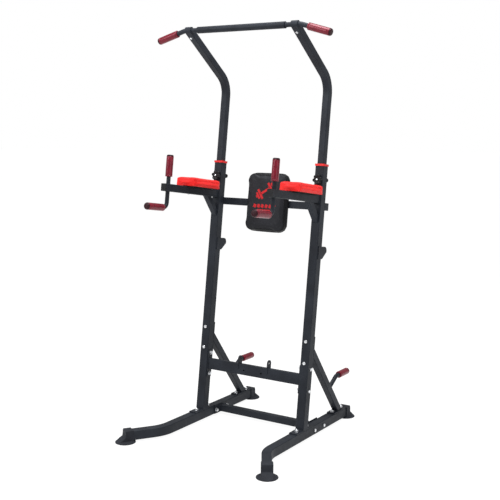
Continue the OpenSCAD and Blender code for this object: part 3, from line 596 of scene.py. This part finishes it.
for name, side in SIDES:
    post = leaned(side * UPRIGHT_X)
    bm = bmesh.new()
    star_knob(bm, post @ shift(0, -HALF_MAIN - 0.0062, KNOB_S) @ turn(90, "X") @ turn(12 * side, "Z"))
    piece(f"knob_star_{name}", bm, f"knob_{name}", [BLACK], [f"star_knob_{name}"], 50)
    bm = bmesh.new()
    threaded(bm, 0.00495, -0.0193, -0.0472, post @ shift(z=KNOB_S) @ turn(-90, "X"), 0.0015)
    piece(f"knob_stud_{name}", bm, f"knob_{name}", [ZINC], [f"clamp_screw_{name}"], 25)
    bm = bmesh.new()
    pull_knob(bm, post @ shift(0, 0.046, PIN_S) @ turn(-90, "X"))
    piece(f"pin_pull_{name}", bm, f"pin_{name}", [BLACK], [f"pull_knob_{name}"], 40)

# ---------- Moulded feet, softened from their solids ----------


def evaluated(obj):
    """The mesh an object has with its modifiers applied."""
    graph = bpy.context.evaluated_depsgraph_get()
    graph.update()
    return bpy.data.meshes.new_from_object(obj.evaluated_get(graph), depsgraph=graph)


def remeshed(mesh, voxel, name="scratch"):
    """A closed voxel remesh of a mesh."""
    obj = bpy.data.objects.new(name, mesh)
    bpy.context.scene.collection.objects.link(obj)
    modifier = obj.modifiers.new("voxels", "REMESH")
    modifier.mode, modifier.voxel_size = "VOXEL", voxel
    made = evaluated(obj)
    bpy.data.objects.remove(obj)
    return made


def smooth_moves(bm, rounds, chosen, factor=0.5):
    """Laplacian smoothing of the chosen points."""
    for _ in range(rounds):
        bmesh.ops.smooth_vert(bm, verts=chosen, factor=factor, use_axis_x=True, use_axis_y=True,
                              use_axis_z=True)


for node in ("foot_front_left", "foot_front_right", "foot_rear_left", "foot_rear_right"):
    mesh = remeshed(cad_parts[node].data.copy(), 0.0022)
    bm = bmesh.new()
    bm.from_mesh(mesh)
    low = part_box(node)[0].z
    smooth_moves(bm, 2, [v for v in bm.verts if v.co.z > low + 0.0006])
    mesh.materials.clear()
    bm.to_mesh(mesh)
    bm.free()
    mesh.shade_smooth()
    scratch = bpy.data.objects.new("scratch", mesh)
    bpy.context.scene.collection.objects.link(scratch)
    scratch.modifiers.new("fewer", "DECIMATE").ratio = 0.45
    mesh = evaluated(scratch)
    bpy.data.objects.remove(scratch)
    mesh.shade_smooth()
    settle(f"{node}_moulding", mesh, "frame", [RUBBER], [node])

# ---------- Cushions ----------

FRAMES = 20


def inflate(mesh, pinned, pressure, cap):
    """Blows a cushion up with cloth, holding the pinned points, and caps how far a point may move."""
    obj = bpy.data.objects.new("scratch", mesh)
    bpy.context.scene.collection.objects.link(obj)
    group = obj.vertex_groups.new(name="held")
    group.add([v.index for v in mesh.vertices if pinned(v.co)], 1.0, "REPLACE")
    cloth = obj.modifiers.new("cloth", "CLOTH")
    settings = cloth.settings
    settings.quality = 5
    settings.mass = 0.3
    settings.tension_stiffness = settings.compression_stiffness = 12
    settings.shear_stiffness = 6
    settings.bending_stiffness = 0.8
    settings.use_pressure = True
    settings.uniform_pressure_force = pressure
    settings.vertex_group_mass = group.name
    settings.effector_weights.gravity = 0
    cloth.collision_settings.use_collision = False
    cloth.point_cache.frame_start, cloth.point_cache.frame_end = 1, FRAMES
    scene = bpy.context.scene
    for f in range(1, FRAMES + 1):
        scene.frame_set(f)
    blown = evaluated(obj)
    for before, after in zip(mesh.vertices, blown.vertices):
        move = after.co - before.co
        if move.length > cap:
            after.co = before.co + move * (cap / move.length)
    bpy.data.objects.remove(obj)
    scene.frame_set(1)
    return blown


def subdivided(mesh):
    """One level of subdivision surface, applied."""
    obj = bpy.data.objects.new("scratch", mesh)
    bpy.context.scene.collection.objects.link(obj)
    obj.modifiers.new("finer", "SUBSURF").levels = 1
    made = evaluated(obj)
    bpy.data.objects.remove(obj)
    return made


def cushion(node, place, size, shrink, lower, held, voxel, cap, soften):
    """A crowned cushion from a CAD pad: place has +Z out of the padded face, size is its outline."""
    to_pad = place.inverted()
    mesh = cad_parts[node].data.copy()
    mesh.materials.clear()
    mesh.transform(to_pad)
    top = max(v.co.z for v in mesh.vertices)
    inside = [side / 2 - 0.011 for side in size]
    for v in mesh.vertices:
        if abs(v.co.x) > inside[0] or abs(v.co.y) > inside[1]:
            v.co.x *= 1 - 2 * shrink / size[0]
            v.co.y *= 1 - 2 * shrink / size[1]
        if v.co.z > top - 0.0005:
            v.co.z -= lower
    mesh = remeshed(mesh, voxel)
    bm = bmesh.new()
    bm.from_mesh(mesh)
    smooth_moves(bm, soften, [v for v in bm.verts if not held(v.co)])
    bm.to_mesh(mesh)
    bm.free()
    mesh = inflate(mesh, held, 4.0, cap)
    bm = bmesh.new()
    bm.from_mesh(mesh)
    smooth_moves(bm, 2, [v for v in bm.verts if not held(v.co)], 0.4)
    bm.to_mesh(mesh)
    bm.free()
    mesh = subdivided(mesh)
    mesh.shade_smooth()
    return mesh


def rounded_outline(width, length, radius, step):
    """Points round a rectangle with round corners, about a step apart, with outward directions."""
    half = (width / 2 - radius, length / 2 - radius)
    out = []
    corners = ((1, 1, 0), (-1, 1, 90), (-1, -1, 180), (1, -1, 270))
    for index, (sx, sy, start) in enumerate(corners):
        turns = max(4, int(radius * math.pi / 2 / step))
        for i in range(turns + 1):
            a = math.radians(start + 90 * i / turns)
            out.append((Vector((sx * half[0] + radius * math.cos(a), sy * half[1] + radius * math.sin(a), 0)),
                        Vector((math.cos(a), math.sin(a), 0))))
        last, direction = out[-1]
        nx, ny, _ = corners[(index + 1) % 4]
        a = math.radians(start + 90)
        goal = Vector((nx * half[0] + radius * math.cos(a), ny * half[1] + radius * math.sin(a), 0))
        count = int((goal - last).length / step)
        out += [(last.lerp(goal, i / count), direction) for i in range(1, count)]
    return out


def swept(bm, points, radius, matrix, closed=True, count=8, ripple=None):
    """A round cord through points. ripple(i) scales its radius at each."""
    loops = []
    total = len(points)
    for i, p in enumerate(points):
        after = points[(i + 1) % total] if closed or i < total - 1 else p
        before = points[i - 1] if closed or i > 0 else p
        along = (after - before).normalized()
        side = along.cross(Vector((0.13, 0.21, 0.97))).normalized()
        other = along.cross(side)
        r = radius * (ripple(i) if ripple else 1)
        loops.append([p + r * (side * math.cos(math.tau * k / count) + other * math.sin(math.tau * k / count))
                      for k in range(count)])
    if closed:
        loops.append(loops[0])
    rings(bm, loops, matrix, not closed, not closed)


def on_surface(tree, start, direction, sunk):
    """Where a ray meets a cushion, moved in by sunk."""
    hit = tree.ray_cast(start, direction)[0]
    return (hit if hit else start) + direction * sunk


def seam_loop(mesh, size, radius, height, sunk, step=0.004):
    """The line round a cushion at one height, found on its own surface."""
    tree = BVHTree.FromPolygons([v.co for v in mesh.vertices], [tuple(p.vertices) for p in mesh.polygons])
    points = []
    for at, outward in rounded_outline(size[0], size[1], radius, step):
        start = Vector((at.x, at.y, height)) + outward * 0.05
        points.append(on_surface(tree, start, -outward, sunk))
    for _ in range(2):
        points = [(points[i - 1] + 2 * p + points[(i + 1) % len(points)]) / 4 for i, p in enumerate(points)]
    return points, tree


def stitches(bm, points, tree, offset, matrix, length=0.0032, radius=0.00035, pitch=0.005):
    """A row of separate thread stitches lying on the surface beside a seam."""
    total, walked, goal = len(points), 0.0, 0.0
    for i in range(total):
        a, b = points[i], points[(i + 1) % total]
        along = b - a
        while goal < walked + along.length:
            at = a + along.normalized() * (goal - walked) + offset
            near, normal = tree.find_nearest(at)[:2]
            half = along.normalized() * (length / 2)
            path = [near - half - normal * 0.0003, near - half * 0.6 + normal * 0.00015,
                    near + half * 0.6 + normal * 0.00015, near + half - normal * 0.0003]
            swept(bm, path, radius, matrix, False, 6)
            goal += pitch
        walked += along.length


ARM_PAD = (0.122, 0.249)
ARM_PAD_R = 0.008
ARM_PAD_O = 0.075
ARM_SEAM_Z = 0.0345
ARM_WELT_R, ARM_STITCH_UP = 0.0013, 0.0045
SUNK = 0.0002                        # how far a welt sits in the skin of its cushion
FLAT_BASE = 0.0125                   # what lies on the board and is held while a cushion swells


def on_board(point):
    return point.z < FLAT_BASE


for name, side in SIDES:
    place = leaned(side * UPRIGHT_X) @ shift(0, -ARM_PAD_O - ARM_PAD[1] / 2, ARM_HIGH)
    mesh = cushion(f"arm_pad_{name}", place, ARM_PAD, shrink=0.0006, lower=0.0020,
                   held=on_board, voxel=0.0036, cap=0.004, soften=1)
    points, tree = seam_loop(mesh, ARM_PAD, ARM_PAD_R, ARM_SEAM_Z, SUNK)
    cord = bmesh.new()
    swept(cord, points, ARM_WELT_R, place)
    thread = bmesh.new()
    stitches(thread, points, tree, Vector((0, 0, ARM_STITCH_UP)), place)
    mesh.transform(place)
    pad = settle(f"arm_cushion_{name}", mesh, "frame", [RED_VINYL], [f"arm_pad_{name}"])
    piece(f"arm_cushion_welt_{name}", cord, "frame", [RED_VINYL], sharp=60)
    piece(f"arm_cushion_stitch_{name}", thread, "frame", [THREAD_WAX], sharp=60)

BACK = (0.260, 0.325)
BACK_R = 0.048
# +Z of this placement points out of the padded face, +Y up along the lean
face = leaned() @ shift(0, 0.024, BACK_S) @ turn(90, "X")
mesh = cushion("backrest_pad", face, BACK, shrink=0.0002, lower=0.006,
               held=on_board, voxel=0.0055, cap=0.0085, soften=2)
SEAM_Z = 0.0335
BACK_WELT_R, BACK_STITCH_DOWN = 0.0017, 0.0048
points, tree = seam_loop(mesh, BACK, BACK_R, SEAM_Z, SUNK)
cord, thread = bmesh.new(), bmesh.new()
swept(cord, points, BACK_WELT_R, face)
stitches(thread, points, tree, Vector((0, 0, -BACK_STITCH_DOWN)), face)
# faces below the seam take the darker band vinyl: painted shade on the cushion's sides
for polygon in mesh.polygons:
    polygon.material_index = 0 if polygon.center.z > SEAM_Z + 0.0006 else 1


def patch(bm, outline, tree, lift, matrix, step=0.0022):
    """A thin printed film with the given convex outline, laid on the crowned panel."""
    low = [min(p[i] for p in outline) for i in (0, 1)]
    high = [max(p[i] for p in outline) for i in (0, 1)]
    grid = bmesh.new()
    count = [max(2, int((high[i] - low[i]) / step)) for i in (0, 1)]
    rows = [[grid.verts.new((low[0] + (high[0] - low[0]) * i / count[0],
                             low[1] + (high[1] - low[1]) * j / count[1], 0))
             for i in range(count[0] + 1)] for j in range(count[1] + 1)]
    for j in range(count[1]):
        for i in range(count[0]):
            grid.faces.new((rows[j][i], rows[j][i + 1], rows[j + 1][i + 1], rows[j + 1][i]))
    total = len(outline)
    for i in range(total):
        a, b = Vector(outline[i]).to_3d(), Vector(outline[(i + 1) % total]).to_3d()
        normal = Vector((b.y - a.y, a.x - b.x, 0))
        bmesh.ops.bisect_plane(grid, geom=[*grid.verts, *grid.edges, *grid.faces], plane_co=a,
                               plane_no=normal, clear_outer=True)
    top, under = {}, {}
    for v in grid.verts:
        at = on_surface(tree, Vector((v.co.x, v.co.y, 0.12)), Vector((0, 0, -1)), -lift)
        top[v] = bm.verts.new(matrix @ at)
        under[v] = bm.verts.new(matrix @ (at - Vector((0, 0, lift * 2))))
    for f in grid.faces:
        bm.faces.new([top[v] for v in f.verts])
        bm.faces.new([under[v] for v in reversed(f.verts)])
    for e in grid.edges:
        if len(e.link_faces) == 1:
            a, b = e.verts
            bm.faces.new((top[a], top[b], under[b], under[a]))
    grid.free()


def rounded_plate(cx, cy, width, height, radius, steps=4):
    """The outline of a rectangle with round corners."""
    points = []
    for sx, sy, start in ((1, 1, 0), (-1, 1, 90), (-1, -1, 180), (1, -1, 270)):
        for i in range(steps + 1):
            a = math.radians(start + 90 * i / steps)
            points.append((cx + sx * (width / 2 - radius) + radius * math.cos(a),
                           cy + sy * (height / 2 - radius) + radius * math.sin(a)))
    return points


def tilted(points, angle, cx, cy):
    """Points turned about the origin and then moved to (cx, cy)."""
    c, s = math.cos(math.radians(angle)), math.sin(math.radians(angle))
    return [(cx + c * x - s * y, cy + s * x + c * y) for x, y in points]


# a plain tilted barbell over a row of slanted dashes and a stripe
FILM = 0.0003
BARBELL_TILT, BARBELL_Y = 32, 0.062
DASHES, DASH_PITCH, DASH_TILT, DASH_Y = 6, 0.0245, -18, -0.022
STRIPE_Y = -0.043
print_film = bmesh.new()
for x, width, height, radius in ((0, 0.066, 0.013, 0.003), (0.036, 0.014, 0.060, 0.004),
                                 (0.0525, 0.012, 0.040, 0.004), (0.0625, 0.007, 0.014, 0.002)):
    for way in (-1, 1) if x else (1,):
        outline = tilted(rounded_plate(way * x, 0, width, height, radius), BARBELL_TILT, 0, BARBELL_Y)
        patch(print_film, outline, tree, FILM, face)
for i in range(DASHES):
    at = (i - (DASHES - 1) / 2) * DASH_PITCH
    outline = tilted(rounded_plate(0, 0, 0.017, 0.019, 0.002), DASH_TILT, at, DASH_Y)
    patch(print_film, outline, tree, FILM, face)
patch(print_film, rounded_plate(0, STRIPE_Y, 0.090, 0.005, 0.002), tree, FILM, face)
mesh.transform(face)
back = settle("back_cushion", mesh, "frame", [PANEL_VINYL, BAND_VINYL_PAINTED_SHADE], ["backrest_pad"])
piece("back_cushion_welt", cord, "frame", [BAND_VINYL_PAINTED_SHADE], sharp=60)
piece("back_cushion_stitch", thread, "frame", [DARK_THREAD], sharp=60)
piece("back_cushion_print", print_film, "frame", [MARK], sharp=60)

# ---------- Weld beads ----------

BEAD, SMALL_BEAD, BAR_BEAD = 0.0021, 0.0017, 0.0016
BRACE_Y, BRACE_SLOPE = 0.418, math.radians(38.7)
GUSSET_FOOT_S, GUSSET_REACH = 1.165, 0.128
LUG_X, BAR_TOP_S = 0.094, 0.357
RIPPLE = 0.0034


def bead(bm, corners, matrix, closed=False, radius=BEAD):
    """A rippled fillet weld along a line through the corners."""
    path = []
    total = len(corners)
    for i in range(total if closed else total - 1):
        a, b = Vector(corners[i]), Vector(corners[(i + 1) % total])
        count = max(2, round((b - a).length / (RIPPLE / 3)))
        path += [a.lerp(b, k / count) for k in range(count)]
    if not closed:
        path.append(Vector(corners[-1]))
    scale = [1 + 0.13 * math.cos(math.tau * i / 3) + random.uniform(-0.05, 0.05) for i in range(len(path))]
    swept(bm, path, radius, matrix, closed, 8, lambda i: scale[i])


def frame_of(w, h, r=0.003):
    """A rectangle with cut corners, in X and Y."""
    return [(sx * (w / 2 - (r if k else 0)), sy * (h / 2 - (0 if k else r)), 0)
            for sx, sy, order in ((1, 1, (0, 1)), (-1, 1, (1, 0)), (-1, -1, (0, 1)), (1, -1, (1, 0)))
            for k in order]


def round_of(r, count=14):
    """A circle, as corners for a weld."""
    return [(r * math.cos(math.tau * i / count), r * math.sin(math.tau * i / count), 0) for i in range(count)]


welds, head_welds = bmesh.new(), bmesh.new()
for name, side in SIDES:
    x = side * UPRIGHT_X
    post = leaned(x)
    for yl in (-HALF_MAIN, HALF_MAIN):
        s = (FLANGE_TOP + yl * math.sin(LEAN)) / math.cos(LEAN)
        bead(welds, [(-0.023, yl, s), (0.023, yl, s)], post)
    # dip arm and gusset on the upright
    bead(welds, frame_of(0.032, 0.040), post @ shift(0, -HALF_MAIN, ARM_S) @ turn(90, "X"), True)
    for at in ((-HALF_MAIN, GUSSET_FOOT_S), (-GUSSET_REACH, ARM_LOW)):
        bead(welds, [(-0.014, *at), (0.014, *at)], post)
    for end in (ARM_LOW, ARM_HIGH):
        bead(welds, round_of(0.0112), post @ shift(0, -HANDLE_O, end), True, SMALL_BEAD)
    # crossbars on their plates
    inner = side * (UPRIGHT_X - HALF_MAIN - PLATE)
    bead(welds, frame_of(0.038, 0.038), shift(inner, LOWER_BAR_Y, LOWER_BAR_Z) @ turn(90, "Y"), True)
    bead(welds, frame_of(0.060, 0.030), leaned(inner) @ shift(z=BAR_TOP_S - 0.030) @ turn(90, "Y"), True)
    for dx in (-0.003, 0.003):
        lug = side * LUG_X + dx
        bead(welds, [(lug, -0.014, BAR_TOP_S), (lug, 0.014, BAR_TOP_S)], leaned(), radius=SMALL_BEAD)
    # hooks on the sides of the uprights
    for dx in (-HALF_MAIN, HALF_MAIN):
        bead(welds, [(dx, -0.015, 0.978), (dx, -0.015, 1.039)], post, radius=SMALL_BEAD)
    # backrest crossbar on the uprights
    for s in (1.234, 1.274):
        bead(welds, [(-0.023, HALF_MAIN, s), (0.023, HALF_MAIN, s)], post)
    # braces on their plates
    for dy in (-0.019, 0.019):
        y = BRACE_Y + dy / math.cos(BRACE_SLOPE)
        bead(welds, [(x - 0.018, y, FLANGE_TOP), (x + 0.018, y, FLANGE_TOP)], Matrix.Identity(4))
    for half in (-HALF_UPPER, HALF_UPPER):
        round_bar = shift(side * (UPRIGHT_X + half), BAR_Y, BAR_Z) @ turn(90, "Y")
        bead(head_welds, round_of(0.0127), round_bar, True, BAR_BEAD)
piece("frame_welds", welds, "frame", [PAINT], sharp=70)
piece("head_welds", head_welds, "upper_frame", [PAINT], sharp=70)

# ---------- Stage, light and camera ----------

WHITE = (1.0, 1.0, 1.0, 1.0)
PALE = Surface("pale_floor", Specular_IOR_Level=0.05, Emission_Color=WHITE, Emission_Strength=0.93)
PALE.set("Base Color", PALE.mix(PALE.band(PALE.noise(2.5, 5), 0.35, 0.65), rgb("676766"), rgb("6d6d6c")))
PALE.set("Roughness", PALE.band(PALE.noise(12, 4), 0.3, 0.7, 0.75, 0.85))
bm = bmesh.new()
rings(bm, [circle(r, 0, 96) for r in (60, 20, 6, 2)], Matrix.Identity(4), False, True)
floor_mesh = bpy.data.meshes.new("floor")
bm.to_mesh(floor_mesh)
bm.free()
floor_mesh.materials.append(PALE.material)
floor = bpy.data.objects.new("floor", floor_mesh)
floor.location.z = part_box("foot_front_left")[0].z - 0.0005
bpy.context.scene.collection.objects.link(floor)

world = bpy.data.worlds.new("studio")
world.use_nodes = True
background = world.node_tree.nodes["Background"]
background.inputs["Color"].default_value = WHITE
# the backdrop shows white, and lights the object as a dimmer sky
rays = world.node_tree.nodes.new("ShaderNodeLightPath")
sky = world.node_tree.nodes.new("ShaderNodeMapRange")
sky.inputs["To Min"].default_value, sky.inputs["To Max"].default_value = 0.45, 1.0
world.node_tree.links.new(rays.outputs["Is Camera Ray"], sky.inputs["Value"])
world.node_tree.links.new(sky.outputs["Result"], background.inputs["Strength"])
bpy.context.scene.world = world


def softbox(name, at, size, watts, target=(0, 0, 1.1)):
    """A rectangular white area light that faces the middle of the object."""
    data = bpy.data.lights.new(name, "AREA")
    data.shape, data.size, data.size_y = "RECTANGLE", size[0], size[1]
    data.energy = watts
    lamp = bpy.data.objects.new(name, data)
    lamp.location = at
    lamp.rotation_euler = (Vector(target) - Vector(at)).to_track_quat("-Z", "Y").to_euler()
    bpy.context.scene.collection.objects.link(lamp)


softbox("key", (-2.6, -4.2, 3.6), (2.4, 2.4), 110)
softbox("side", (4.6, -1.6, 2.4), (1.6, 3.0), 30)
softbox("top", (0.4, -0.6, 5.0), (3.0, 3.0), 260)

CAMERA_AT = (2.6109, -4.0798, 1.6602)
azimuth, pitch, roll = (math.radians(a) for a in (32.66, 6.61, 0.47))
level = math.cos(pitch)
forward = Vector((-math.sin(azimuth) * level, math.cos(azimuth) * level, -math.sin(pitch)))
right = Vector((math.cos(azimuth), math.sin(azimuth), 0))
up = right.cross(forward)
x_axis = right * math.cos(roll) + up * math.sin(roll)
y_axis = up * math.cos(roll) - right * math.sin(roll)
lens = bpy.data.cameras.new("camera")
lens.sensor_width = 36
lens.lens = 65.41
lens.shift_y = -0.036
lens.clip_end = 200
camera = bpy.data.objects.new("camera", lens)
facing = Matrix((x_axis, y_axis, -forward)).transposed().to_4x4()
camera.matrix_world = shift(*CAMERA_AT) @ facing
bpy.context.scene.collection.objects.link(camera)
bpy.context.scene.camera = camera
bpy.context.scene.view_settings.view_transform = "Standard"
